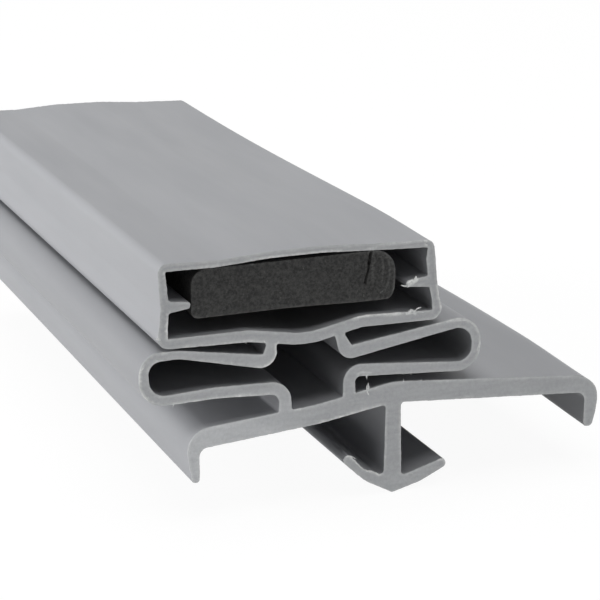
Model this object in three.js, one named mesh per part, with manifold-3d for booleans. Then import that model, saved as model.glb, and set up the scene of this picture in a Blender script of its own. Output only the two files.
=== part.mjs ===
// Refrigerator door gasket: a cut length of grey flexible PVC extrusion with a magnet strip.
// From the door side up, its section has a push-in dart, a base flange with a lip at each edge,
// a bellows folded flat on each side of an open middle chamber, and the pocket for the magnet.
// It has the set that it took in use: the head stands left of the dart, whose left barb is bent.
//
// Frame: millimetres. X runs across the section, Y along the length, and Z from the door up to
// the cabinet. The origin is on the dart's middle line where it meets the underside of the
// flange, half way along the length.

import * as THREE from "three";
import { mergeVertices } from "three/addons/utils/BufferGeometryUtils.js";
import Module from "manifold-3d";

const length = 50;

// Base flange. Each wing droops from the dart to its lip, the left one more near the dart.
const baseThickness = 1.38;
const baseRidge = 0.1; // extra thickness over the dart
const leftReach = 14.7; // dart's middle line to the outer face of a lip, before rounding
const rightReach = 15.5;
const leftRootReach = 5.5; // where the slope of the left wing changes
const leftRootDroop = 8.3; // degrees
const leftWingDroop = 4.2;
const rightWingDroop = 5.2;
const rightWingTaper = 0.14; // how much thinner the right wing is at its lip
const rootBend = 1.4; // radius where the slope changes
const leftShoulder = 1.6; // radii of the flange's top edges
const rightShoulder = 1.75;

// Lips
const lipDepth = 3.68; // origin to the free edge of a lip
const lipRoot = 1.06;
const leftLipEdge = 0.52; // thickness of a lip at its free edge
const rightLipEdge = 0.68;
const lipFillet = 0.58;

// Push-in dart
const dartDepth = 6.4;
const stemTop = 1.1;
const stemFoot = 1.3;
const stemFillet = 0.25;
const barbEnd = 0.62; // thickness of a barb at its free end
const crotchFillet = 0.25;
const dartPoint = 0.35; // radius
const leftBarbReach = 3.68;
const leftBarbRise = 2.72; // dart point to the outer corner of the barb's end
const leftBarbRoot = 1.22; // dart point to the barb's root on the stem
const leftBarbBelly = 0.3;
const rightBarbReach = 4;
const rightBarbRise = 1.4;
const rightBarbRoot = 1.1;
const rightBarbBelly = 0.2;

// Bellows. Each is one wall that rises from the base, runs out to a loop, comes back and hangs
// from the pocket.
const lowerWall = 0.86;
const upperWall = 0.92;
const leftUpperWall = 0.56; // where the left upper wall leaves its loop
const loopWall = 0.68;
const riserWall = 0.9;
const hangerWall = 0.74;
const leftRiserX = -7.7;
const rightRiserX = -3.2;
const leftHangerX = -8.64;
const rightHangerX = -3.92;
const leftHangerLean = 0.2; // how far a hanger's foot lies outwards of its top
const rightHangerLean = 0.57;
const leftLoopReach = 17.62; // dart's middle line to the outside of a loop
const rightLoopReach = 6.36;
const leftUnderGap = 1.2; // base to the lower wall at the riser
const rightUnderGap = 1.3;
const leftLowerBow = 0.185;
const leftLowerClimb = 0.12; // rise of the lower wall's middle line from the riser to the loop
const rightLowerFall = 0.8;
const throat = 0.34; // least gap between the walls at the right hanger's foot
const leftHangerDrop = 1.92; // pocket floor to the hanger's foot, between middle lines
const rightHangerDrop = 1.97;
const loopGap = 0.1; // least gap between a bellows and the end of the pocket floor
const leftLevelRun = 2.3; // stretch of the left upper wall beside its loop that is level
const leftLoopLow = 1.1; // inner bend radii
const leftLoopHigh = 1;
const rightLoopLow = 0.95;
const rightLoopHigh = 1.4;
const leftRiserBend = 0.62;
const rightRiserBend = 0.34;
const hangerBend = 0.14;
const lowerBend = 9; // of the bow in the left lower wall
const endFillet = 0.2; // where a bellows wall meets the base or the pocket floor

// Magnet pocket. Its floor dips between the hangers, and its roof is crowned over the magnet.
const floorWall = 0.8;
const sideWall = 0.56;
const rightWallTop = 0.68; // the right wall is thicker near the roof, on its inner face
const roofWall = 0.44;
const troughSag = 0.58;
const troughWidth = 1.2;
const troughShoulder = 1.6; // hanger to the top of the slope beside it
const leftFloorLift = 0.1;
const rightFloorLift = 0.09; // crest of the floor's right half
const rightFloorFall = 0.17; // crest to the floor's right end
const roofCrown = 0.22;
const crownWidth = 3.6;
const crownSpan = 10.6;
const leftRoofLift = 0.1;
const rightRoofFall = 0.18;
const leftWallBow = 0.2; // how far a side wall is bowed in towards the magnet
const rightWallBow = 0.12;
const rightWallSplay = 0.6; // foot of the right wall to the right of its top
const wallTaper = 1.1; // height beside a corner over which a side wall changes its thickness
const pocketCorner = 0.1; // inner radius
const softBend = 3; // radius of the slight bends in the floor and roof

// Magnet strip and its fit in the pocket
const magnetWidth = 14;
const magnetThickness = 3.22;
const magnetOffset = 6.97; // dart's middle line to the middle of the magnet, leftwards
const magnetCorner = 0.48; // radii
const magnetTopLeft = 1;
const magnetTopRight = 1.35;
const magnetRecess = 0.3; // magnet's ends inside the cut ends
const underGap = 1.07; // floor to magnet
const overGap = 0.1; // magnet to roof
const leftSideGap = 1.76;
const rightSideGap = 2.25;

// Locating ribs on the pocket's side walls
const ribRoot = 0.8;
const ribTip = 0.42;
const ribFillet = 0.26;
const leftRibRise = 1.04; // underside of the magnet to the middle of the rib
const rightRibRise = 0.8;
const leftRibGap = 0.15; // rib to magnet
const rightRibGap = 0.8;

// Joining, rounding and facets
const sink = 0.03; // how far a joined face lies inside its neighbour
const rootSink = 0.12; // how far the root below it reaches in
const filletRun = 2.2; // straight edge beside a fillet, in fillet radii
const endRounding = 0.45; // radius at a free end, as a share of the thickness there
const edgeShare = 0.49; // most of an edge that the arc at one of its corners takes
const endShare = 0.7; // the same on the stretch beside an open wall's end
const arcStep = THREE.MathUtils.degToRad(9);
const fewestSteps = 4;

const point = (x, z) => new THREE.Vector2(x, z);
const slope = (degrees) => Math.tan(THREE.MathUtils.degToRad(degrees));

// Tangent arc at a corner, limited by its shares of the edges before and after it
function roundCorner(before, corner, after, radius, shares = [edgeShare, edgeShare]) {
  const a = before.clone().sub(corner);
  const b = after.clone().sub(corner);
  const cosine = THREE.MathUtils.clamp(a.dot(b) / (a.length() * b.length()), -1, 1);
  const half = Math.acos(cosine) / 2;
  const limit = Math.min(shares[0] * a.length(), shares[1] * b.length());
  const run = Math.min(radius / Math.tan(half), limit);
  if (!(run > 1e-4)) return [corner.clone()];
  const inwards = a.clone().normalize().add(b.clone().normalize()).normalize();
  const centre = corner.clone().addScaledVector(inwards, run / Math.cos(half));
  const from = corner.clone().addScaledVector(a.normalize(), run);
  const sweep = (Math.PI - 2 * half) * Math.sign(a.cross(b)) * -1;
  const steps = Math.max(fewestSteps, Math.ceil(Math.abs(sweep) / arcStep));
  const points = [];
  for (let i = 0; i <= steps; i++) {
    points.push(from.clone().rotateAround(centre, (sweep * i) / steps));
  }
  return points;
}

// Closed outline from corners [x, z, radius]
function sketch(corners) {
  const places = corners.map(([x, z]) => point(x, z));
  const at = (i) => places[(i + places.length) % places.length];
  return corners.flatMap(([, , radius], i) => roundCorner(at(i - 1), at(i), at(i + 1), radius));
}

// Both faces of a wall, from the corners [x, z, inner radius, thickness] of its middle line.
// The two ends of an open wall are left out.
function wallFaces(corners, closed) {
  const places = corners.map(([x, z]) => point(x, z));
  const count = places.length;
  const shareOf = (edge) => (!closed && (edge === 0 || edge === count - 2) ? endShare : edgeShare);
  const left = [];
  const right = [];
  corners.forEach(([, , radius, thickness], i) => {
    if (!closed && (i === 0 || i === count - 1)) return;
    const before = places[(i + count - 1) % count];
    const after = places[(i + 1) % count];
    const arrive = places[i].clone().sub(before).normalize();
    const leave = after.clone().sub(places[i]).normalize();
    const turn = Math.atan2(arrive.cross(leave), arrive.dot(leave));
    const shares = [shareOf(i - 1), shareOf(i)];
    const bend = roundCorner(before, places[i], after, radius + thickness / 2, shares);
    bend.forEach((place, k) => {
      const share = bend.length > 1 ? k / (bend.length - 1) : 0.5;
      const travel = arrive.clone().rotateAround(point(0, 0), turn * share);
      const side = point(-travel.y, travel.x).multiplyScalar(thickness / 2);
      left.push(place.clone().add(side));
      right.push(place.clone().sub(side));
    });
  });
  return { left, right };
}

// Outline round one end of a wall, with a fillet on each side into the face that it meets.
// The end is where its middle line meets that face, and face gives the face's height at x.
function filletedEnd(end, before, thickness, face) {
  const out = end.clone().sub(before).normalize();
  const across = (-out.y * thickness) / 2;
  const into = Math.sign(out.y);
  const run = filletRun * endFillet;
  const onFace = (x, depth) => point(x, face(x) + into * depth);
  const corner = (side) => onFace(end.x + side * across, sink);
  const onWall = (side) => corner(side).addScaledVector(out, -run);
  const beside = (side, depth) => onFace(end.x + side * (across - into * run), depth);
  return [
    ...roundCorner(onWall(-1), corner(-1), beside(-1, sink), endFillet),
    beside(-1, sink),
    beside(-1, rootSink),
    beside(1, rootSink),
    beside(1, sink),
    ...roundCorner(beside(1, sink), corner(1), onWall(1), endFillet),
  ];
}

// Closed outline of a bellows wall that runs from the base to the pocket floor
function bellowsOutline(corners) {
  const { left, right } = wallFaces(corners, false);
  const places = corners.map(([x, z]) => point(x, z));
  const last = places.length - 1;
  const foot = filletedEnd(places[0], places[1], corners[0][3], baseTop);
  const head = filletedEnd(places[last], places[last - 1], corners[last][3], floorUnder);
  return [...right, ...head, ...left.reverse(), ...foot];
}

const wasm = await Module();
wasm.setup();

// Solid from an outline in the section, extruded along the length and centred on it
function extrude(outline, hole = null, depth = length) {
  const shape = new THREE.Shape(outline);
  if (hole) shape.holes.push(new THREE.Path(hole));
  const geometry = new THREE.ExtrudeGeometry(shape, { depth, steps: 1, bevelEnabled: false });
  geometry.rotateX(Math.PI / 2);
  geometry.translate(0, depth / 2, 0);
  return geometry;
}

function solid(geometry) {
  geometry.deleteAttribute("normal");
  geometry.deleteAttribute("uv");
  const merged = mergeVertices(geometry, 1e-4);
  const vertProperties = merged.attributes.position.array;
  const triVerts = new Uint32Array(merged.index.array);
  return new wasm.Manifold(new wasm.Mesh({ numProp: 3, vertProperties, triVerts }));
}

function surface(manifold) {
  const { vertProperties, triVerts } = manifold.getMesh();
  const geometry = new THREE.BufferGeometry();
  geometry.setAttribute("position", new THREE.BufferAttribute(vertProperties, 3));
  geometry.setIndex(new THREE.BufferAttribute(triVerts, 1));
  geometry.computeVertexNormals();
  return geometry;
}

// Underside and top of the flange at x
function seat(x) {
  if (x > 0) return x * (rightWingTaper / rightReach - slope(rightWingDroop));
  const root = Math.min(-x, leftRootReach);
  return -root * slope(leftRootDroop) - (-x - root) * slope(leftWingDroop);
}
const baseTop = (x) => baseThickness + (x > 0 ? -x * slope(rightWingDroop) : seat(x));

// Corners of one barb, from the stem round to the dart's point. Side is 1 on the right and -1
// on the left.
function barb(side, reach, rise, root, belly) {
  const tip = point(0, -dartDepth);
  const end = point(side * reach, rise - dartDepth);
  const chord = end.clone().sub(tip);
  const inwards = point(-side * chord.y, side * chord.x).normalize();
  const inner = end.clone().addScaledVector(inwards, barbEnd);
  const bow = tip.clone().addScaledVector(chord, 0.5).addScaledVector(inwards, -belly);
  return [
    [(side * stemFoot) / 2, root - dartDepth, crotchFillet],
    [inner.x, inner.y, barbEnd * endRounding],
    [end.x, end.y, barbEnd * endRounding],
    [bow.x, bow.y, reach],
  ];
}

// Flange, lips and dart in one outline
function footOutline() {
  const leftInside = lipRoot - leftReach;
  const rightInside = rightReach - lipRoot;
  return sketch([
    [-leftReach, baseTop(-leftReach), leftShoulder],
    [-leftRootReach, baseTop(-leftRootReach), leftRootReach],
    [0, baseTop(0) + baseRidge, leftRootReach],
    [rightReach, baseTop(rightReach), rightShoulder],
    [rightInside + rightLipEdge, -lipDepth, rightLipEdge * endRounding],
    [rightInside, -lipDepth, rightLipEdge * endRounding],
    [rightInside, seat(rightInside), lipFillet],
    [stemTop / 2, seat(stemTop / 2), stemFillet],
    ...barb(1, rightBarbReach, rightBarbRise, rightBarbRoot, rightBarbBelly),
    [0, -dartDepth, dartPoint],
    ...barb(-1, leftBarbReach, leftBarbRise, leftBarbRoot, leftBarbBelly).reverse(),
    [-stemTop / 2, seat(-stemTop / 2), stemFillet],
    [-leftRootReach, seat(-leftRootReach), rootBend],
    [leftInside, seat(leftInside), lipFillet],
    [leftInside, -lipDepth, leftLipEdge * endRounding],
    [leftInside - leftLipEdge, -lipDepth, leftLipEdge * endRounding],
  ]);
}

// Heights of the middle lines, stacked up from the base
const leftLowerZ = baseTop(leftRiserX) + leftUnderGap + lowerWall / 2;
const rightLowerZ = baseTop(rightRiserX) + rightUnderGap + lowerWall / 2;
const rightHangerFoot = rightLowerZ + lowerWall / 2 + throat + upperWall / 2;
const floorZ = rightHangerFoot + rightHangerDrop;
const leftHangerFoot = floorZ - leftHangerDrop;
const magnetBottom = floorZ + floorWall / 2 + underGap;
const magnetTop = magnetBottom + magnetThickness;
const roofZ = magnetTop + overGap + roofWall / 2;

// Places of the pocket's walls, worked out from the magnet between them
const magnetLeft = -magnetOffset - magnetWidth / 2;
const magnetRight = magnetWidth / 2 - magnetOffset;
const leftWallX = magnetLeft - leftSideGap - sideWall / 2;
const rightWallX = magnetRight + rightSideGap + sideWall / 2;
const rightFootX = rightWallX + rightWallSplay;
const leftFloorEnd = floorZ + leftFloorLift;
const rightFloorEnd = floorZ + rightFloorLift - rightFloorFall;
const leftRoofEnd = roofZ + leftRoofLift;
const rightRoofEnd = roofZ - rightRoofFall;

// Middle lines of the side walls as [z, x], each with its rib's place between its ends
const leftRibZ = magnetBottom + leftRibRise;
const rightRibZ = magnetBottom + rightRibRise;
const splayShare = (rightRoofEnd - rightRibZ) / (rightRoofEnd - rightFloorEnd);
const leftRibWall = leftWallX + leftWallBow;
const rightRibWall = rightWallX + rightWallSplay * splayShare - rightWallBow;
const leftWallLine = [
  [leftFloorEnd, leftWallX],
  [leftRibZ, leftRibWall],
  [leftRoofEnd, leftWallX],
];
const rightWallLine = [
  [rightFloorEnd, rightFootX],
  [rightRibZ, rightRibWall],
  [rightRoofEnd, rightWallX],
];

// Middle line of the pocket floor, from left to right
const hangerMiddle = (leftHangerX + rightHangerX) / 2;
const floorLine = [
  [leftWallX, leftFloorEnd, pocketCorner, (floorWall + sideWall) / 2],
  [leftHangerX - troughShoulder, floorZ, softBend, floorWall],
  [hangerMiddle - troughWidth / 2, floorZ - troughSag, softBend, floorWall],
  [hangerMiddle + troughWidth / 2, floorZ - troughSag, softBend, floorWall],
  [rightHangerX + troughShoulder, floorZ + rightFloorLift, softBend, floorWall],
  [rightFootX, rightFloorEnd, pocketCorner, (floorWall + sideWall) / 2],
];

// Second coordinate on a line of points where the first one is the given place
function heightOn(line, place) {
  const i = Math.max(1, line.findIndex(([end]) => end > place));
  const [x0, z0] = line[i - 1];
  const [x1, z1] = line[i];
  return THREE.MathUtils.mapLinear(place, x0, x1, z0, z1);
}
const floorUnder = (x) => heightOn(floorLine, x) - floorWall / 2;

function pocketFaces() {
  const roofLine = [
    [rightWallX, rightRoofEnd, pocketCorner, (roofWall + sideWall) / 2],
    [crownSpan / 2 - magnetOffset, roofZ, softBend, roofWall],
    [crownWidth / 2 - magnetOffset, roofZ + roofCrown, softBend, roofWall],
    [-crownWidth / 2 - magnetOffset, roofZ + roofCrown, softBend, roofWall],
    [-crownSpan / 2 - magnetOffset, roofZ, softBend, roofWall],
    [leftWallX, leftRoofEnd, pocketCorner, (roofWall + sideWall) / 2],
  ];
  const onWall = (wallLine, z, wall = sideWall) => {
    return [heightOn(wallLine, z) - (wall - sideWall) / 2, z, softBend, wall];
  };
  const rightWall = [
    onWall(rightWallLine, rightFloorEnd + wallTaper),
    onWall(rightWallLine, rightRibZ, (sideWall + rightWallTop) / 2),
    onWall(rightWallLine, rightRoofEnd - wallTaper, rightWallTop),
  ];
  const leftWall = [
    onWall(leftWallLine, leftRibZ),
    onWall(leftWallLine, leftFloorEnd + wallTaper),
  ];
  const around = [...floorLine, ...rightWall, ...roofLine, ...leftWall];
  const { left, right } = wallFaces(around, true);
  return { inner: left, outer: right };
}

// A rib from a side wall towards the magnet. Side is 1 where it points right and -1 where it
// points left, and wallLine is the wall's middle line.
function ribOutline(side, wallLine, z, tipX) {
  const faceX = (height) => heightOn(wallLine, height) + side * (sideWall / 2 - sink);
  const flare = ribRoot / 2 + filletRun * ribFillet;
  return sketch([
    [faceX(z + flare), z + flare, 0],
    [faceX(z + ribRoot / 2), z + ribRoot / 2, ribFillet],
    [tipX, z + ribTip / 2, ribTip * endRounding],
    [tipX, z - ribTip / 2, ribTip * endRounding],
    [faceX(z - ribRoot / 2), z - ribRoot / 2, ribFillet],
    [faceX(z - flare), z - flare, 0],
    [heightOn(wallLine, z), z, 0],
  ]);
}

function leftBellows() {
  const loopX = loopWall / 2 - leftLoopReach;
  const loopLowZ = leftLowerZ + leftLowerClimb;
  const loopHighZ = leftFloorEnd - floorWall / 2 - loopGap - leftUpperWall / 2;
  const bowZ = (leftLowerZ + loopLowZ) / 2 + leftLowerBow;
  return bellowsOutline([
    [leftRiserX, baseTop(leftRiserX), 0, riserWall],
    [leftRiserX, leftLowerZ, leftRiserBend, lowerWall],
    [(leftRiserX + loopX) / 2, bowZ, lowerBend, (lowerWall + loopWall) / 2],
    [loopX, loopLowZ, leftLoopLow, loopWall],
    [loopX, loopHighZ, leftLoopHigh, (loopWall + leftUpperWall) / 2],
    [loopX + leftLevelRun, loopHighZ, softBend, leftUpperWall],
    [leftHangerX - leftHangerLean, leftHangerFoot, hangerBend, upperWall],
    [leftHangerX, floorUnder(leftHangerX), 0, hangerWall],
  ]);
}

function rightBellows() {
  const loopX = rightLoopReach - loopWall / 2;
  const footX = rightHangerX + rightHangerLean;
  const touchZ = rightFloorEnd - floorWall / 2 - loopGap - upperWall / 2;
  const loopHighZ = heightOn([[footX, rightHangerFoot], [rightFootX, touchZ]], loopX);
  return bellowsOutline([
    [rightRiserX, baseTop(rightRiserX), 0, riserWall],
    [rightRiserX, rightLowerZ, rightRiserBend, lowerWall],
    [loopX, rightLowerZ - rightLowerFall, rightLoopLow, loopWall],
    [loopX, loopHighZ, rightLoopHigh, loopWall],
    [footX, rightHangerFoot, hangerBend, upperWall],
    [rightHangerX, floorUnder(rightHangerX), 0, hangerWall],
  ]);
}

// The extrusion, one piece from dart to pocket
function gasketGeometry() {
  const { inner, outer } = pocketFaces();
  const forms = [
    extrude(footOutline()),
    extrude(leftBellows()),
    extrude(rightBellows()),
    extrude(outer, inner),
    extrude(ribOutline(1, leftWallLine, leftRibZ, magnetLeft - leftRibGap)),
    extrude(ribOutline(-1, rightWallLine, rightRibZ, magnetRight + rightRibGap)),
  ];
  return surface(forms.map(solid).reduce((whole, form) => whole.add(form)));
}

function magnetGeometry() {
  const outline = sketch([
    [magnetLeft, magnetBottom, magnetCorner],
    [magnetRight, magnetBottom, magnetCorner],
    [magnetRight, magnetTop, magnetTopRight],
    [magnetLeft, magnetTop, magnetTopLeft],
  ]);
  return extrude(outline, null, length - 2 * magnetRecess);
}

const greyVinyl = new THREE.MeshStandardMaterial({
  color: 0xa2a4a6,
  roughness: 0.55,
  metalness: 0,
});
const magnetRubber = new THREE.MeshStandardMaterial({
  color: 0x343434,
  roughness: 0.85,
  metalness: 0,
});

const gasketProfile = new THREE.Mesh(gasketGeometry(), greyVinyl);
gasketProfile.name = "gasket_profile";

const magnetStrip = new THREE.Mesh(magnetGeometry(), magnetRubber);
magnetStrip.name = "magnet_strip";

const gasket = new THREE.Group();
gasket.add(gasketProfile, magnetStrip);

export default gasket;
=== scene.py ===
import math

import bpy
import numpy as np
from mathutils import Matrix, Vector, geometry, noise


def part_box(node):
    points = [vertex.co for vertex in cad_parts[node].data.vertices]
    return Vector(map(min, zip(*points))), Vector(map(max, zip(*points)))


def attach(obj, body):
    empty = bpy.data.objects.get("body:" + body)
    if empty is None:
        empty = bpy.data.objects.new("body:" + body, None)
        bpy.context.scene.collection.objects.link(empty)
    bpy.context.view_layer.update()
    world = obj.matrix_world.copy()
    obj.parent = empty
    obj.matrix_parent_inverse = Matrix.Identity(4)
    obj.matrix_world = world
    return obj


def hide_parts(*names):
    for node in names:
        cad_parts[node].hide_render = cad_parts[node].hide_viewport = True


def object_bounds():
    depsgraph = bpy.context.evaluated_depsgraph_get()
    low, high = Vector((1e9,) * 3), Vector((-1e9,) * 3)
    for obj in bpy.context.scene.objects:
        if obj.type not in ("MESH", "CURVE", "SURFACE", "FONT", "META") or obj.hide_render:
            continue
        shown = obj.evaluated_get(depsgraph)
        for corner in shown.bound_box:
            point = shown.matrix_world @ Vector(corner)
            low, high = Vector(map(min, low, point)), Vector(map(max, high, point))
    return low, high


# A cut length of grey refrigerator door gasket, seen on its near cut end.
# Each piece is swept along the length from the outline of its CAD node's cut end.
# Lengths are in millimetres until a mesh, a lamp or the camera is made.

MM = 0.001

# Camera, as the photograph shows the part: angles in degrees and place in millimetres
CAMERA_AT = (-55.86, -147.69, 47.82)
CAMERA_YAW = 21.84
CAMERA_PITCH = -16.82
CAMERA_LENS = 129
SENSOR_WIDTH = 36
CLIP_START = 0.005  # metres

# Spacings of the meshes' points and rings
POINT_SPACING = 0.16
RING_SPACING = 2.2
VINYL_GRID = 0.15
MAGNET_GRID = 0.1
MARK_SPACING = 0.07
SAME_PLACE = 1e-6  # metres

# Cut faces' inner points, as shares of their grid: shake, and room round marks and rims
GRID_JITTER = 0.2
MARK_ROOM = 0.4
RIM_ROOM = 0.35

# Rims of the cuts: their rounding, how far they are torn, and how deep they are whitened and given
# a painted highlight
RIM_WIDTH = 0.04
RIM_DEPTH = 0.04
CUT_DEPTHS = (0, 0.012, RIM_DEPTH, 0.1, 0.2, 0.4, 0.9)
RAGGED_REACH = 0.02
RAGGED_BARB = 0.09
RAGGED_MAGNET = 0.012
RAGGED_DEPTH = 0.35
PALE_DEPTH = 0.14
RELIEF_START = 0.3  # from the rim to the cut face's full relief
SHARP_ANGLE = 40

# Noise: size of its features and seed
COARSE_TEAR = (0.22, 11)
FINE_TEAR = (0.09, 23)
PALE_PATCHES = (0.5, 31)
GRID_SHAKE = ((0.05, 3), (0.05, 7))
KNIFE_SCORE = (0.22, 5)
KNIFE_GRAIN = (0.12, 6)
MAGNET_LUMPS = (0.3, 13)
MAGNET_GRAINS = (0.13, 14)

# Set of the length: y of each crest, half or quarter wave after it, and rise in z
HEAD_CREST = -27
HEAD_HALF_WAVE = 39
HEAD_MEAN = -0.045
HEAD_SWING = 0.235
WING_CREST = -13
WING_QUARTER_WAVE = 20
WING_LIFT = 0.27
LEFT_WING_LIFT = 0.09

# Shape beyond the straight outlines
LIP_FULLNESS = 0.15
BARB_BITE = 0.3
MAGNET_BULGE = 0.13
MAGNET_CORNER = 0.58
MAGNET_SAG = 0.18

# Lamps: name, place, width and power
LAMPS = (
    ("top", (0, 0, 500), 500, 1.85),
    ("left", (-480, 150, 100), 300, 2.3),
    ("front", (-2, -600, 3), 30, 1.65),
)
WORLD_STRENGTH = 0.07
BACKDROP_GLOW = 1.045
BACKDROP_GLOW_SHARE = 0.9
FLOOR_REACH = 3.0  # metres

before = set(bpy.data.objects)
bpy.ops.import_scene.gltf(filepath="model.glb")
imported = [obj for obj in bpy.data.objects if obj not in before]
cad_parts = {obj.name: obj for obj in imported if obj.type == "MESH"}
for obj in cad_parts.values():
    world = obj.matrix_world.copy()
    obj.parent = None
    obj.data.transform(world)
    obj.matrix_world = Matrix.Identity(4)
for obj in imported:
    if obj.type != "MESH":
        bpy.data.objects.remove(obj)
cad_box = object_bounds()


def new_object(name, mesh):
    piece = bpy.data.objects.new(name, mesh)
    bpy.context.scene.collection.objects.link(piece)
    return piece


def smooth(value, low, high):
    """0 at low, 1 at high and eased between them, for numbers or arrays."""
    share = np.clip((value - low) / (high - low), 0, 1)
    return share * share * (3 - 2 * share)


# Outlines of a CAD node's near cut end


def end_outlines(node):
    """Closed outlines of the node's near end as arrays of [x, z], with the material on
    their left."""
    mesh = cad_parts[node].data
    near = min(v.co.y for v in mesh.vertices)
    places = {}
    edges = set()
    for polygon in mesh.polygons:
        corners = [mesh.vertices[i].co for i in polygon.vertices]
        if max(abs(c.y - near) for c in corners) > SAME_PLACE:
            continue
        keys = [(round(c.x * 1e7), round(c.z * 1e7)) for c in corners]
        places.update(zip(keys, corners))
        edges.update(zip(keys, keys[1:] + keys[:1]))
    step = {a: b for a, b in edges if (b, a) not in edges}
    outlines = []
    while step:
        start, key = next(iter(step.items()))
        del step[start]
        chain = [start]
        while key != start:
            chain.append(key)
            key = step.pop(key)
        outlines.append(np.array([[places[k].x, places[k].z] for k in chain]) / MM)
    return sorted(outlines, key=len, reverse=True)


def resample(outline, spacing):
    """The outline's own points, with more on its long edges."""
    points = []
    for a, b in zip(outline, np.roll(outline, -1, axis=0)):
        count = max(1, math.ceil(np.linalg.norm(b - a) / spacing))
        points.extend(a + (b - a) * k / count for k in range(count))
    return np.array(points)


def outward(outline):
    """Unit normals that point out of the material."""
    along = np.roll(outline, -1, axis=0) - np.roll(outline, 1, axis=0)
    along /= np.linalg.norm(along, axis=1)[:, None]
    return np.stack([along[:, 1], -along[:, 0]], axis=1)


def distance_and_inside(points, outlines):
    """Each point's distance to the nearest outline, and whether it lies in the material."""
    nearest = np.full(len(points), np.inf)
    crossings = np.zeros(len(points), int)
    for outline in outlines:
        for a, b in zip(outline, np.roll(outline, -1, axis=0)):
            edge = b - a
            share = np.clip((points - a) @ edge / max(edge @ edge, 1e-12), 0, 1)
            gap = np.linalg.norm(points - a - share[:, None] * edge, axis=1)
            nearest = np.minimum(nearest, gap)
            spans = (a[1] > points[:, 1]) != (b[1] > points[:, 1])
            if abs(edge[1]) > 1e-12:
                crossing = a[0] + (points[:, 1] - a[1]) / edge[1] * edge[0]
                crossings += spans & (points[:, 0] < crossing)
    return nearest, crossings % 2 == 1


def rough(points, scale, seed):
    """Noise from about -1 to 1 at each point, with features of the scale's size."""
    return np.array([noise.noise(Vector(p) / scale + Vector((seed, 0, 0))) for p in points])


def flat(section, y=0.0):
    """Points [x, y, z] of a section's [x, z]."""
    return np.column_stack([section[:, 0], np.full(len(section), y), section[:, 1]])


# Marks on a cut face: lines of [x, z], with their half width, paleness and rise


def mark_points(marks):
    """Points along each mark's middle and its two sides."""
    points = []
    for line, width, _, _ in marks:
        for a, b in zip(line, line[1:]):
            a, b = np.array(a), np.array(b)
            length = np.linalg.norm(b - a)
            side = width * np.array([b[1] - a[1], a[0] - b[0]]) / length
            for k in range(math.ceil(length / MARK_SPACING) + 1):
                middle = a + (b - a) * min(1, k * MARK_SPACING / length)
                points += [middle - side, middle - side / 2, middle]
                points += [middle + side / 2, middle + side]
    return np.array(points).reshape(-1, 2)


def mark_effect(points, marks):
    """Paleness and rise that the marks give each point."""
    pale, rise = np.zeros(len(points)), np.zeros(len(points))
    for line, width, strength, height in marks:
        gap = np.full(len(points), np.inf)
        for a, b in zip(line, line[1:]):
            a, edge = np.array(a), np.array(b) - np.array(a)
            share = np.clip((points - a) @ edge / (edge @ edge), 0, 1)
            gap = np.minimum(gap, np.linalg.norm(points - a - share[:, None] * edge, axis=1))
        near = 1 - smooth(gap, 0.3 * width, width)
        pale = np.maximum(pale, near * strength)
        rise += near * height
    return pale, rise


def rim_paleness(section, y, gap, look):
    """Paleness near the rim of a cut, which is partly the vinyl's whitening and partly a painted
    highlight: faint all round, and strong along the near cut's whitened and highlighted stretches."""
    strength = np.full(len(section), look["rim_pale"])
    if y < 0:
        for line, width, level in look["pale_rims"]:
            near, _ = mark_effect(section, ((line, width, level, 0),))
            strength = np.maximum(strength, near)
    patchy = 0.8 + 0.5 * rough(flat(section, y), *PALE_PATCHES)
    reach = look["rim_reach"]
    return strength * patchy * (1 - smooth(gap, 0.3 * reach, reach))


def thinned(points, kept, least):
    """The points that lie at least so far from the kept ones."""
    if not len(kept):
        return points
    gaps = np.sqrt(((points[:, None, :] - kept[None, :, :]) ** 2).sum(axis=2)).min(axis=1)
    return points[gaps > least]


def cap_mesh(rim_loops, grid, marks):
    """Points inside the rim loops, and triangles over the loops' points and then these."""
    rim = np.concatenate(rim_loops)
    low, high = rim.min(axis=0), rim.max(axis=0)
    xs = np.arange(low[0], high[0], grid)
    zs = np.arange(low[1], high[1], grid)
    inner = np.array([[x + (k % 2) * grid / 2, z] for k, z in enumerate(zs) for x in xs])
    shake = np.column_stack([rough(flat(inner), *way) for way in GRID_SHAKE])
    inner += GRID_JITTER * grid * shake
    lines = mark_points(marks)
    inner = np.concatenate([lines, thinned(inner, lines, MARK_ROOM * grid)])
    gap, inside = distance_and_inside(inner, rim_loops)
    inner = inner[inside & (gap > RIM_ROOM * grid)]
    points = np.concatenate([rim, inner])
    edges = []
    start = 0
    for loop in rim_loops:
        edges += [(start + i, start + (i + 1) % len(loop)) for i in range(len(loop))]
        start += len(loop)
    found = geometry.delaunay_2d_cdt([Vector(p) for p in points], edges, [], 0, 1e-7)
    places, triangles = np.array([tuple(v) for v in found[0]]), np.array(found[2])
    centres = places[triangles].mean(axis=1)
    _, inside = distance_and_inside(centres, rim_loops)
    order = np.array([origin[0] for origin in found[3]])
    return inner, order[triangles[inside]]


# Sweeping a cut end along the length


def rim_inset(depth):
    """How far the rounded rim of a cut lies inside the outline at a depth below the cut."""
    share = max(0, 1 - depth / RIM_DEPTH)
    return RIM_WIDTH * (1 - math.sqrt(1 - share * share))


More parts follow.
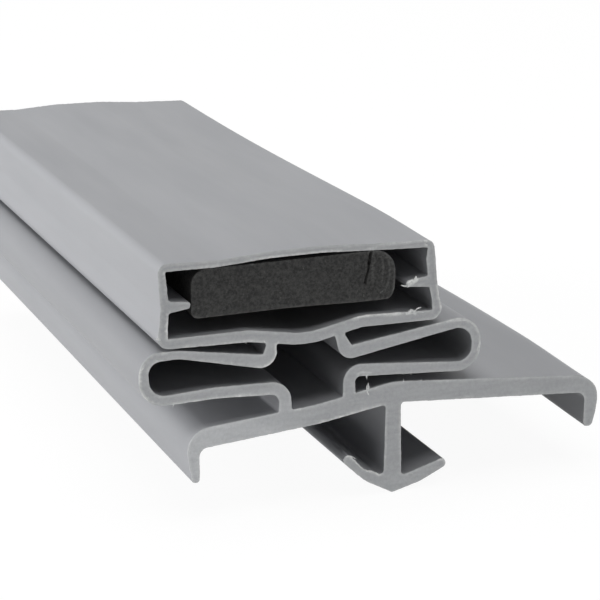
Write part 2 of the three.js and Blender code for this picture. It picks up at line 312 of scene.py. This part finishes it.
def sweep(name, node, grid, look):
    """Mesh swept along the node's length, and closed by a face with relief at each cut.

    The look holds the near cut's marks and pale rims, partly a painted highlight, the faces'
    relief, how ragged the rims are, the piece's tone with painted shade, and its set: where its
    points go from their straight place.
    """
    outlines = [resample(outline, POINT_SPACING) for outline in end_outlines(node)]
    low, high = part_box(node)
    near, far = low.y / MM, high.y / MM
    loop = np.concatenate(outlines)
    normals = np.concatenate([outward(outline) for outline in outlines])
    count = len(loop)
    starts = np.cumsum([0] + [len(outline) for outline in outlines])
    follow = np.arange(count) + 1
    follow[starts[1:] - 1] = starts[:-1]

    points, pale, cut = [], [], []
    steps = math.ceil((far - near) / RING_SPACING)
    middle = [near + (far - near) * k / steps for k in range(1, steps)]
    rings = [near + depth for depth in CUT_DEPTHS] + middle
    rings += [far - depth for depth in reversed(CUT_DEPTHS)]
    for y in rings:
        depth = min(y - near, far - y)
        marks = look["marks"] if y < 0 else []
        ring = flat(loop, y)
        torn = look["ragged"](loop, y) * (rough(ring, *COARSE_TEAR) + 0.6 * rough(ring, *FINE_TEAR))
        moved = (1 - smooth(depth, 0, RAGGED_DEPTH)) * torn - rim_inset(depth)
        points.append(flat(loop + moved[:, None] * normals, y))
        # Pale rims near the cut: whitening, with a painted highlight.
        rim = rim_paleness(loop, y, np.zeros(count), look)
        shown = np.maximum(rim, mark_effect(loop, marks)[0])
        pale.append(shown * (1 - smooth(depth, 0, PALE_DEPTH)))
        cut.append(np.full(count, 1.0 if depth < RIM_DEPTH else 0.0))
    faces = []
    ahead = np.arange(count)
    for k in range(len(rings) - 1):
        a, b = k * count, (k + 1) * count
        faces.append(np.column_stack([a + follow, a + ahead, b + ahead, b + follow]))

    base = len(rings) * count
    for y, sign, first, marks in ((near, -1, 0, look["marks"]), (far, 1, base - count, [])):
        rim = points[0 if sign < 0 else len(rings) - 1][:, [0, 2]]
        rim_loops = [rim[a:b] for a, b in zip(starts, starts[1:])]
        inner, triangles = cap_mesh(rim_loops, grid, marks)
        gap, _ = distance_and_inside(inner, rim_loops)
        shown, rise = mark_effect(inner, marks)
        height = look["relief"](inner, y) * smooth(gap, 0, RELIEF_START)
        height += rise * smooth(gap, 0, RELIEF_START / 3)
        points.append(flat(inner) + np.outer(y + sign * height, (0, 1, 0)))
        pale.append(np.maximum(rim_paleness(inner, y, gap, look), shown))
        cut.append(np.ones(len(inner)))
        index = np.concatenate([first + ahead, base + np.arange(len(inner))])
        faces.append(index[triangles if sign < 0 else triangles[:, ::-1]])
        base += len(inner)

    places = np.concatenate(points)
    is_cut = np.concatenate(cut)
    values = {
        "pale": np.clip(np.concatenate(pale), 0, 1),
        "cut": is_cut,
        "shade_and_tone": look["shade_and_tone"](places, is_cut),
    }
    return build(name, look["set"](places), faces, values)


def build(name, places, faces, values):
    """Mesh object from points and groups of faces. The values say how pale, how cut and
    how light each point is; the paleness holds a painted highlight on the cut's rims, and the
    lightness holds painted shade."""
    mesh = bpy.data.meshes.new(name)
    every_face = [face for group in faces for face in group.tolist()]
    mesh.from_pydata((places * MM).tolist(), [], every_face)
    for key, numbers in values.items():
        mesh.attributes.new(key, "FLOAT", "POINT").data.foreach_set("value", numbers)
    mesh.polygons.foreach_set("use_smooth", [True] * len(mesh.polygons))
    mesh.set_sharp_from_angle(angle=math.radians(SHARP_ANGLE))
    mesh.validate()
    return new_object(name, mesh)


# Shape and relief of the pieces


def length_set(points):
    """The slow waves that the head and the wings took along the length."""
    x, y, z = points.T
    leaving = smooth(y, -26, -15)
    head = smooth(z, 6, 8.5) * smooth(x, -14, 2.5)
    droop = HEAD_MEAN + HEAD_SWING * np.cos(np.pi * (y - HEAD_CREST) / HEAD_HALF_WAVE)
    wing = smooth(x, 8, 14) * (1 - smooth(z, 2, 4))
    past_crest = np.maximum(y - WING_CREST, 0)
    lift = WING_LIFT * leaving * np.cos(np.pi * past_crest / (2 * WING_QUARTER_WAVE))
    left_wing = smooth(-x, 8, 13) * (1 - smooth(z, 1.2, 2.4))
    left_lift = LEFT_WING_LIFT * smooth(y, -25, 25)
    moved = points.copy()
    moved[:, 2] += head * droop * leaving + wing * lift + left_wing * left_lift
    return moved


def inner_barb(x, z):
    """1 on the upper side of the left barb near its tip, and 0 on its lower side and
    elsewhere."""
    above = z + 3.15 + 0.8 * (x + 3.3)
    along = np.exp(-((x + 2.1) / 0.65) ** 2)
    return smooth(above, -0.45, -0.05) * (1 - smooth(z, -3.0, -2.6)) * along


def vinyl_shape(points):
    """The extrusion with its right lip full on the outside, and with the bite that the
    knife tore out of the left barb's inner side."""
    x, y, z = points.T
    lip = smooth(x, 14.3, 15) * smooth(z, -3.7, -2.4) * (1 - smooth(z, -1.2, 0.4))
    moved = points.copy()
    moved[:, 0] += LIP_FULLNESS * lip
    moved[:, 2] -= BARB_BITE * inner_barb(x, z) * (1 - smooth(y, -25, -22.5))
    return length_set(moved)


def knife_relief(section, y):
    """The slightly wavy face that the cut left, scored along the knife's way."""
    x, z = section.T
    waves = 0.03 * np.sin(x * 0.9 + z * 0.5 + y) + 0.015 * np.sin(x * 3.1 - z * 2.3)
    stretched = flat(section * np.array([0.12, 1]), y)
    score = 0.02 * rough(stretched, *KNIFE_SCORE)
    return waves + score + 0.008 * rough(flat(section, y), *KNIFE_GRAIN)


def vinyl_ragged(section, y):
    """How far the rim is torn: a little, and most at the near end of the left barb."""
    return RAGGED_REACH + (RAGGED_BARB * inner_barb(*section.T) if y < 0 else 0)


def torn_relief(section, y):
    """Cut face of the magnet: grainy, with its right end torn deeper behind a curved crack."""
    x, z = section.T
    face = flat(section, y)
    grain = 0.035 * rough(face, *MAGNET_LUMPS) + 0.045 * rough(face, *MAGNET_GRAINS)
    if y > 0:
        return grain
    behind = x + 1.75 + 0.09 * (z - 9.6) ** 2
    step = smooth(behind, -0.05, 0.12)
    ridges = 0.05 * np.sin(behind * 14 + 0.8 * np.sin(z * 2.1)) * smooth(z, 7.4, 9) * step
    return grain - 0.1 * step + ridges


def magnet_ragged(section, y):
    """How far the bar's rim is torn: the same all round, at both ends."""
    return np.full(len(section), RAGGED_MAGNET)


def magnet_shape(points):
    """The bar with its right side bulged, the lower corner there rounder than the left
    one, and its underside sagging towards them."""
    moved = points.copy()
    x, z = moved[:, 0], moved[:, 2]
    low, high = z.min(), z.max()
    height = (z - low) / (high - low)
    x += MAGNET_BULGE * smooth(x, -2.5, -0.3) * 4 * height * (1 - height)
    across, above = x.max() - MAGNET_BULGE - MAGNET_CORNER, low + MAGNET_CORNER
    right, down = np.maximum(x - across, 0), np.maximum(above - z, 0)
    reach = np.maximum(np.hypot(right, down), MAGNET_CORNER)
    share = np.where((right > 0) & (down > 0), 1 - MAGNET_CORNER / reach, 0)
    x -= share * right
    z += share * down
    z -= MAGNET_SAG * (1 - height) * smooth(x, -8, -1)
    return length_set(moved)


def vinyl_shade_and_tone(points, cut):
    """How light the vinyl is, with painted shade: the thin bellows walls and the right wing are
    painted a little darker as shade from the head beside them, and the cut face is lighter at the
    dart's foot and towards its lower left."""
    x, _, z = points.T
    bellows = smooth(z, 1.2, 2.2) * (1 - smooth(z, 5.0, 6.2))
    lower_left = (1 - smooth(x, -12, -3)) * (1 - smooth(z, 0.5, 2.5))
    face = 1 + 0.32 * lower_left - 0.1 * smooth(z, 5, 7) + 0.16 * (1 - smooth(z, -6, -4))
    right_wing = smooth(x, 6, 10) * (1 - smooth(z, 2, 4))
    # Painted shade: the bellows walls and the right wing are darkened where the head shades them.
    return np.where(cut > 0.5, face, 0.985 - 0.15 * bellows - 0.05 * right_wing)


def magnet_tone(points, cut):
    """How light the bar is: the same everywhere."""
    return np.ones(len(points))


# Whitened stretches of the near cut's rims, with a painted highlight on them: the line they follow,
# reach from it, strength
VINYL_RIMS = (
    (((-2.7, 6.3), (0.2, 6.2)), 0.6, 0.9),
    (((-15.76, 6.7), (-15.72, 8.0)), 0.35, 1.0),
    (((-16.6, 6.4), (-15.5, 6.4)), 0.25, 0.9),
    (((-14.5, 5.5), (-9.0, 5.4)), 0.3, 0.6),
    (((-10.0, 10.9), (-4.6, 10.9)), 0.35, 0.85),
    (((-14.5, 10.8), (2.4, 10.9)), 0.3, 0.5),
    (((-8.4, 5.2), (-8.4, 4.3), (-9.1, 3.5), (-9.9, 3.4)), 0.4, 1.0),
    (((-14.0, 1.85), (-9.0, 1.9)), 0.35, 0.8),
    (((-17.0, 11.0), (-17.1, 8.8)), 0.45, 0.9),
    (((-15.9, 10.6), (-15.8, 8.9)), 0.3, 0.6),
    (((-16.0, 5.2), (-17.7, 4.2), (-17.2, 2.6), (-15.0, 2.0), (-13.5, 1.95)), 0.45, 0.7),
    (((-15.5, 4.6), (-8.0, 3.9)), 0.35, 0.45),
    (((-7.7, 2.6), (-6.9, 1.4), (-6.8, 0.4)), 0.4, 0.6),
    (((3.3, 7.6), (3.6, 5.9), (3.2, 5.4)), 0.5, 0.85),
    (((4.0, 5.3), (5.6, 5.2), (6.5, 4.2), (6.3, 2.8)), 0.4, 0.6),
    (((-5.2, -0.8), (-1.0, -0.3)), 0.4, 0.9),
    (((-14.9, -1.5), (-14.9, -3.4), (-14.3, -3.8)), 0.35, 0.7),
    (((-3.4, -3.1), (-2.5, -3.8), (-1.7, -4.5), (-0.9, -5.1)), 0.35, 1.0),
    (((1.0, 8.1), (1.5, 8.4)), 0.35, 1.0),
    (((3.4, -4.4), (4.0, -4.5), (4.0, -4.9)), 0.3, 0.8),
    (((-2.0, 2.4), (-2.4, 1.3), (-1.2, 1.5)), 0.35, 0.6),
)

# Paler stretches of the magnet's near rim, a painted highlight: the line they follow, reach from
# it, strength
MAGNET_RIMS = (
    (((-1.6, 10.65), (-0.2, 10.2), (-0.1, 9.0), (-0.2, 7.8), (-1.0, 7.3)), 0.45, 1.0),
    (((-13.8, 7.3), (-1.0, 7.3)), 0.3, 0.55),
    (((-4.2, 10.65), (-1.6, 10.65)), 0.3, 0.45),
)

# Marks within the near cut's faces: line, half width, paleness and rise
VINYL_MARKS = (
    (((3.25, 7.2), (3.32, 6.6), (3.42, 5.9)), 0.16, 0.6, 0.02),
    (((2.1, 10.92), (2.2, 10.9)), 0.12, 1.0, 0.05),
    (((2.15, 10.62), (2.24, 10.6)), 0.08, 0.7, 0.03),
    (((1.0, 8.0), (1.25, 8.15), (1.5, 8.3)), 0.2, 0.8, 0.03),
    (((0.9, 6.05), (1.3, 6.1), (1.5, 6.0)), 0.12, 0.5, 0.02),
    (((-17.42, 4.5), (-17.34, 4.55)), 0.1, 0.8, 0.02),
    (((-16.42, 4.92), (-16.34, 4.9)), 0.1, 0.7, 0.02),
    (((-2.6, 2.3), (-2.35, 2.42), (-1.7, 2.3)), 0.1, 0.3, 0.01),
    (((4.6, 5.15), (5.4, 5.1), (6.2, 4.3), (6.3, 3.6), (6.1, 2.9)), 0.06, 0.5, 0.015),
    (((3.0, 1.2), (5.2, 1.02), (7.5, 0.8)), 0.06, 0.4, 0.01),
    (((-0.7, -0.4), (-0.5, -3.0), (-0.75, -4.7)), 0.05, 0.4, 0.015),
    (((0.55, -1.0), (0.6, -3.5), (0.85, -5.1), (1.5, -5.3)), 0.05, 0.4, 0.015),
)

MAGNET_MARKS = (
    (((-1.6, 10.4), (-1.7, 10.0), (-1.76, 9.7)), 0.13, 0.0, -0.35),
    (((-1.76, 9.7), (-1.8, 9.35), (-1.92, 8.95), (-2.02, 8.5)), 0.09, 0.0, -0.3),
    (((-1.45, 10.3), (-1.4, 9.7), (-1.5, 9.1), (-1.45, 8.6)), 0.14, 0.4, 0.02),
    (((-1.1, 10.35), (-0.85, 9.9), (-0.8, 9.3), (-0.9, 8.5)), 0.1, 0.4, 0.02),
    (((-0.75, 10.2), (-0.45, 9.9), (-0.36, 9.3), (-0.4, 8.6), (-0.6, 7.9)), 0.11, 0.45, 0.02),
    (((-0.9, 7.75), (-0.7, 7.9)), 0.06, 1.0, 0.03),
    (((-9.9, 10.5), (-9.8, 10.52)), 0.09, 1.0, 0.02),
)

VINYL_LOOK = {
    "marks": VINYL_MARKS,
    "relief": knife_relief,
    "ragged": vinyl_ragged,
    "set": vinyl_shape,
    "shade_and_tone": vinyl_shade_and_tone,
    "pale_rims": VINYL_RIMS,
    "rim_pale": 0.24,
    "rim_reach": 0.15,
}
MAGNET_LOOK = {
    "marks": MAGNET_MARKS,
    "relief": torn_relief,
    "ragged": magnet_ragged,
    "set": magnet_shape,
    "shade_and_tone": magnet_tone,
    "pale_rims": MAGNET_RIMS,
    "rim_pale": 0.15,
    "rim_reach": 0.12,
}


# Burrs that the knife left hanging on the near cut's rims

BURRS = (
    # way from root to tip as [x, z], thickness at the root, and how far the tip leans out
    (((-0.3, 6.2), (0.3, 6.24), (0.62, 6.14)), 0.07, 0.05),
    (((0.95, 6.1), (1.15, 6.28), (1.35, 6.26)), 0.24, 0.16),
    (((1.3, 6.15), (1.6, 6.34), (1.9, 6.44)), 0.12, 0.12),
    (((1.75, 6.1), (2.1, 6.04)), 0.06, 0.05),
    (((1.45, 8.2), (1.47, 8.6)), 0.26, 0.16),
    (((1.3, 8.2), (1.1, 8.1), (0.84, 7.9)), 0.28, 0.14),
    (((1.0, 8.0), (0.7, 7.98), (0.4, 8.08)), 0.12, 0.06),
    (((-1.98, 2.3), (-1.98, 2.0)), 0.16, 0.05),
    (((-1.98, 2.15), (-1.97, 1.86)), 0.06, 0.04),
    (((-1.85, 1.2), (-1.88, 1.42)), 0.42, 0.06),
    (((-1.84, 1.3), (-1.86, 1.64)), 0.16, 0.06),
    (((0.68, 1.35), (0.7, 1.58)), 0.09, 0.06),
    (((2.0, 1.2), (2.02, 1.37)), 0.07, 0.05),
    (((0.7, 2.1), (0.7, 1.9)), 0.06, 0.05),
    (((1.2, 2.0), (1.22, 1.78)), 0.06, 0.05),
    (((-10.4, 5.6), (-10.42, 5.38)), 0.07, 0.05),
    (((-9.1, 5.6), (-9.14, 5.34)), 0.2, 0.08),
    (((-15.4, 2.0), (-15.42, 1.74)), 0.07, 0.05),
    (((-16.4, 6.5), (-16.54, 6.36)), 0.08, 0.08),
    (((-3.35, -3.15), (-3.05, -3.35), (-2.7, -3.47)), 0.09, 0.08),
    (((-1.2, -4.75), (-1.0, -5.0)), 0.08, 0.05),
)
BURR_RINGS = 9
BURR_SIDES = 8
BURR_PALENESS = 0.75

# Depth of a burr's root inside the rim and behind the cut, as shares of its thickness
BURR_ROOT = 0.6
BURR_SINK = 0.3
BURR_UNEVENNESS = 0.5
BURR_LUMPS_PER_MM = 7


def burrs(name, node):
    """Mesh of small tapered tufts, each rooted in the nearest rim of the node's near cut."""
    outlines = [resample(outline, POINT_SPACING) for outline in end_outlines(node)]
    loop = np.concatenate(outlines)
    normals = np.concatenate([outward(outline) for outline in outlines])
    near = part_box(node)[0].y / MM
    points, faces = [], []
    start = 0
    for way, thick, lean in BURRS:
        way = np.array(way)
        root = np.argmin(np.linalg.norm(loop - way[0], axis=1))
        way[0] = loop[root] - BURR_ROOT * thick * normals[root]
        steps = np.linalg.norm(np.diff(way, axis=0), axis=1)
        lengths = np.concatenate([[0], np.cumsum(steps)])
        for k in range(BURR_RINGS):
            share = k / (BURR_RINGS - 1)
            place = [np.interp(share * lengths[-1], lengths, way[:, i]) for i in (0, 1)]
            y = near + BURR_SINK * thick - lean * share
            middle = np.array([place[0], y, place[1]])
            radius = 0.5 * thick * math.sqrt(max(0.02, 1 - share ** 2))
            for angle in np.arange(BURR_SIDES) * 2 * np.pi / BURR_SIDES:
                spoke = np.array([np.cos(angle), 0.6 * np.sin(angle + 1), np.sin(angle)])
                lump = noise.noise(Vector(middle + spoke) * BURR_LUMPS_PER_MM)
                points.append(middle + radius * (1 + BURR_UNEVENNESS * lump) * spoke)
        ring = np.arange(BURR_SIDES)
        after = (ring + 1) % BURR_SIDES
        for k in range(BURR_RINGS - 1):
            a, b = start + k * BURR_SIDES, start + (k + 1) * BURR_SIDES
            faces.append(np.column_stack([a + ring, a + after, b + after, b + ring]))
        faces.append(start + ring[::-1][None, :])
        faces.append(start + (BURR_RINGS - 1) * BURR_SIDES + ring[None, :])
        start += BURR_RINGS * BURR_SIDES
    places = vinyl_shape(np.array(points))
    whole = np.ones(len(places))
    return build(name, places, faces, {"pale": BURR_PALENESS * whole, "cut": whole, "shade_and_tone": whole})


# Materials

SKIN = ((0.342, 0.348, 0.366), (0.368, 0.374, 0.391))
CUT_FACE = ((0.318, 0.326, 0.336), (0.374, 0.382, 0.39))
# Pale colour of the rims: the vinyl's whitening, with a painted highlight.
WHITENED_AND_HIGHLIGHT = (0.72, 0.73, 0.71, 1)
FERRITE_GRAIN = ((0.006, 0.006, 0.006), (0.052, 0.052, 0.05))
FERRITE_CLOUD = ((0.016, 0.016, 0.016), (0.032, 0.032, 0.032))
FERRITE_FLECK = (0.11, 0.11, 0.105, 1)
# Painted highlight on the magnet's cut rims
FERRITE_RIM_HIGHLIGHT = (0.12, 0.12, 0.117, 1)
BACKDROP = (0.8, 0.8, 0.8, 1)


def graph(name):
    material = bpy.data.materials.new(name)
    material.use_nodes = True
    tree = material.node_tree
    shader = tree.nodes["Principled BSDF"]

    def add(kind, **values):
        node = tree.nodes.new(kind)
        for key, value in values.items():
            setattr(node, key, value)
        return node

    return material, tree, shader, add


def link(tree, source, target):
    tree.links.new(source, target)


def set_inputs(node, **values):
    for key, value in values.items():
        node.inputs[key.replace("_", " ")].default_value = value


def mapped_noise(tree, add, scale, stretch=(1, 1, 1), detail=3.0, roughness=0.5):
    """Noise in object space, with stretch dividing its frequency along each axis."""
    place = add("ShaderNodeTexCoord")
    mapping = add("ShaderNodeMapping")
    mapping.inputs["Scale"].default_value = tuple(1 / s for s in stretch)
    texture = add("ShaderNodeTexNoise")
    set_inputs(texture, Scale=scale, Detail=detail, Roughness=roughness)
    link(tree, place.outputs["Object"], mapping.inputs["Vector"])
    link(tree, mapping.outputs["Vector"], texture.inputs["Vector"])
    return texture.outputs["Fac"]


def grey(level):
    """Colour without a hue."""
    return (level, level, level)


def ramp(tree, add, source, low, high, dark, light):
    """Colour ramp from dark at low to light at high."""
    node = add("ShaderNodeValToRGB")
    node.color_ramp.elements[0].position = low
    node.color_ramp.elements[0].color = (*dark, 1)
    node.color_ramp.elements[1].position = high
    node.color_ramp.elements[1].color = (*light, 1)
    link(tree, source, node.inputs["Fac"])
    return node.outputs["Color"]


def mix(tree, add, factor, first, second, blend="MIX"):
    node = add("ShaderNodeMix", data_type="RGBA", blend_type=blend)
    factor_in, a, b = node.inputs["Factor"], node.inputs[6], node.inputs[7]
    for value, socket in ((factor, factor_in), (first, a), (second, b)):
        if isinstance(value, bpy.types.NodeSocket):
            link(tree, value, socket)
        else:
            socket.default_value = value
    return node.outputs[2]


def attribute(add, name):
    node = add("ShaderNodeAttribute", attribute_name=name)
    return node.outputs["Fac"]


def product(tree, add, first, second):
    node = add("ShaderNodeMath", operation="MULTIPLY")
    link(tree, first, node.inputs[0])
    link(tree, second, node.inputs[1])
    return node.outputs[0]


def bump(tree, add, height, strength, distance, normal=None):
    node = add("ShaderNodeBump")
    set_inputs(node, Strength=strength, Distance=distance)
    link(tree, height, node.inputs["Height"])
    if normal is not None:
        link(tree, normal, node.inputs["Normal"])
    return node.outputs["Normal"]


def vinyl():
    """Grey flexible PVC: drawn smooth along its length, grainy where it was cut, whitened on the
    cut's rims with a painted highlight along them, and darkened with painted shade on the bellows
    walls and the right wing."""
    material, tree, shader, add = graph("vinyl")
    cloud = mapped_noise(tree, add, 180, (1, 4, 1))
    skin = ramp(tree, add, cloud, 0.3, 0.7, *SKIN)
    score = mapped_noise(tree, add, 2600, (9, 1, 1), 4)
    face = ramp(tree, add, score, 0.3, 0.7, *CUT_FACE)
    pitted = mapped_noise(tree, add, 4200, detail=4, roughness=0.7)
    pits = ramp(tree, add, pitted, 0.35, 0.65, grey(0.87), grey(1))
    face = mix(tree, add, 1.0, face, pits, "MULTIPLY")
    colour = mix(tree, add, attribute(add, "cut"), skin, face)
    # Painted shade: the point attribute multiplied in here darkens the bellows walls and the right
    # wing.
    colour = mix(tree, add, 1.0, colour, attribute(add, "shade_and_tone"), "MULTIPLY")
    # Pale rims: whitening and a painted highlight along the cut's edges, broken up by speckle.
    speckled = mapped_noise(tree, add, 5200, detail=3)
    speckle = ramp(tree, add, speckled, 0.35, 0.6, grey(0.55), grey(1))
    pale = product(tree, add, attribute(add, "pale"), speckle)
    colour = mix(tree, add, pale, colour, WHITENED_AND_HIGHLIGHT)
    link(tree, colour, shader.inputs["Base Color"])
    streak = mapped_noise(tree, add, 1500, (1, 40, 1), 2)
    grain = mapped_noise(tree, add, 6000, detail=2)
    normal = bump(tree, add, streak, 0.25, 0.00002)
    normal = bump(tree, add, grain, 0.2, 0.00001, normal)
    link(tree, normal, shader.inputs["Normal"])
    shine = mapped_noise(tree, add, 700, (1, 8, 1), 3)
    roughness = ramp(tree, add, shine, 0.3, 0.7, grey(0.48), grey(0.56))
    link(tree, roughness, shader.inputs["Roughness"])
    shader.inputs["Specular IOR Level"].default_value = 0.35
    return material


def ferrite_rubber():
    """Dark magnet strip, matt and grainy, with lighter grains that the knife pulled up, and a
    painted highlight along the cut's rims.
    """
    material, tree, shader, add = graph("ferrite_rubber")
    grain = mapped_noise(tree, add, 5200, detail=5, roughness=0.7)
    patch = mapped_noise(tree, add, 420, detail=3)
    dark = ramp(tree, add, grain, 0.38, 0.62, *FERRITE_GRAIN)
    cloud = ramp(tree, add, patch, 0.35, 0.65, *FERRITE_CLOUD)
    colour = mix(tree, add, 0.25, dark, cloud)
    flecked = mapped_noise(tree, add, 3600, detail=2)
    fleck = ramp(tree, add, flecked, 0.68, 0.76, grey(0), grey(0.6))
    colour = mix(tree, add, fleck, colour, FERRITE_FLECK)
    # Painted highlight along the cut's rims, broken up by the grain.
    speckle = ramp(tree, add, grain, 0.4, 0.6, grey(0.3), grey(1))
    pale = product(tree, add, attribute(add, "pale"), speckle)
    colour = mix(tree, add, pale, colour, FERRITE_RIM_HIGHLIGHT)
    link(tree, colour, shader.inputs["Base Color"])
    normal = bump(tree, add, grain, 0.9, 0.00008)
    link(tree, normal, shader.inputs["Normal"])
    roughness = ramp(tree, add, patch, 0.3, 0.7, grey(0.74), grey(0.86))
    link(tree, roughness, shader.inputs["Roughness"])
    shader.inputs["Specular IOR Level"].default_value = 0.3
    return material


def seen_directly(tree):
    """1 for what the camera sees, also in a reflection or through glass."""
    path = tree.nodes.new("ShaderNodeLightPath")
    value = path.outputs["Is Camera Ray"]
    for name in ("Is Glossy Ray", "Is Transmission Ray"):
        either = tree.nodes.new("ShaderNodeMath")
        either.operation = "MAXIMUM"
        link(tree, value, either.inputs[0])
        link(tree, path.outputs[name], either.inputs[1])
        value = either.outputs[0]
    return value


def backdrop_white():
    """White to the camera with a faint shadow, and plain pale to the part."""
    material, tree, shader, add = graph("backdrop_white")
    set_inputs(shader, Roughness=1.0)
    shader.inputs["Base Color"].default_value = BACKDROP
    glow = add("ShaderNodeEmission")
    glow.inputs["Strength"].default_value = BACKDROP_GLOW
    share = add("ShaderNodeMath", operation="MULTIPLY")
    link(tree, seen_directly(tree), share.inputs[0])
    share.inputs[1].default_value = BACKDROP_GLOW_SHARE
    blend = add("ShaderNodeMixShader")
    link(tree, share.outputs[0], blend.inputs["Fac"])
    link(tree, shader.outputs[0], blend.inputs[1])
    link(tree, glow.outputs[0], blend.inputs[2])
    link(tree, blend.outputs[0], tree.nodes["Material Output"].inputs["Surface"])
    return material


# The part


def dress(piece, material):
    piece.data.materials.append(material)
    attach(piece, "root")


grey_vinyl = vinyl()

gasket_skin = sweep("gasket_skin", "gasket_profile", VINYL_GRID, VINYL_LOOK)
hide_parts("gasket_profile")
dress(gasket_skin, grey_vinyl)

magnet_bar = sweep("magnet_bar", "magnet_strip", MAGNET_GRID, MAGNET_LOOK)
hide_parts("magnet_strip")
dress(magnet_bar, ferrite_rubber())

cut_burrs = burrs("cut_burrs", "gasket_profile")
dress(cut_burrs, grey_vinyl)


# Floor, lights and camera


def floor(level):
    signs = ((-1, -1), (1, -1), (1, 1), (-1, 1))
    corners = [(x * FLOOR_REACH, y * FLOOR_REACH, level) for x, y in signs]
    mesh = bpy.data.meshes.new("floor")
    mesh.from_pydata(corners, [], [(0, 1, 2, 3)])
    plane = new_object("floor", mesh)
    plane.data.materials.append(backdrop_white())


def area_light(name, at, size, power):
    """Soft square lamp, aimed at the middle of the part."""
    lamp = bpy.data.lights.new(name, "AREA")
    lamp.size = size * MM
    lamp.energy = power
    holder = new_object(name, lamp)
    holder.location = Vector(at) * MM
    holder.rotation_euler = (-holder.location).to_track_quat("-Z", "Y").to_euler()


def world_light(strength):
    """White surroundings: full to the camera, and faint as light on the part."""
    world = bpy.data.worlds.new("studio")
    world.use_nodes = True
    bpy.context.scene.world = world
    tree = world.node_tree
    background = tree.nodes["Background"]
    background.inputs["Color"].default_value = (1, 1, 1, 1)
    seen = tree.nodes.new("ShaderNodeMix")
    seen.inputs[2].default_value = strength
    seen.inputs[3].default_value = 1.0
    link(tree, seen_directly(tree), seen.inputs["Factor"])
    link(tree, seen.outputs[0], background.inputs["Strength"])


def camera():
    """Camera that stands and looks as the photograph's did."""
    lens = bpy.data.cameras.new("camera")
    lens.lens = CAMERA_LENS
    lens.sensor_width = SENSOR_WIDTH
    lens.clip_start = CLIP_START
    holder = new_object("camera", lens)
    yaw, pitch = math.radians(CAMERA_YAW), math.radians(CAMERA_PITCH)
    level = math.cos(pitch)
    forward = Vector((math.sin(yaw) * level, math.cos(yaw) * level, math.sin(pitch)))
    right = Vector((math.cos(yaw), -math.sin(yaw), 0))
    turn = Matrix((right, right.cross(forward), -forward)).transposed()
    holder.matrix_world = Matrix.Translation(Vector(CAMERA_AT) * MM) @ turn.to_4x4()
    bpy.context.scene.camera = holder


floor(cad_box[0].z)
world_light(WORLD_STRENGTH)
for lamp in LAMPS:
    area_light(*lamp)
camera()
bpy.context.scene.view_settings.view_transform = "Standard"
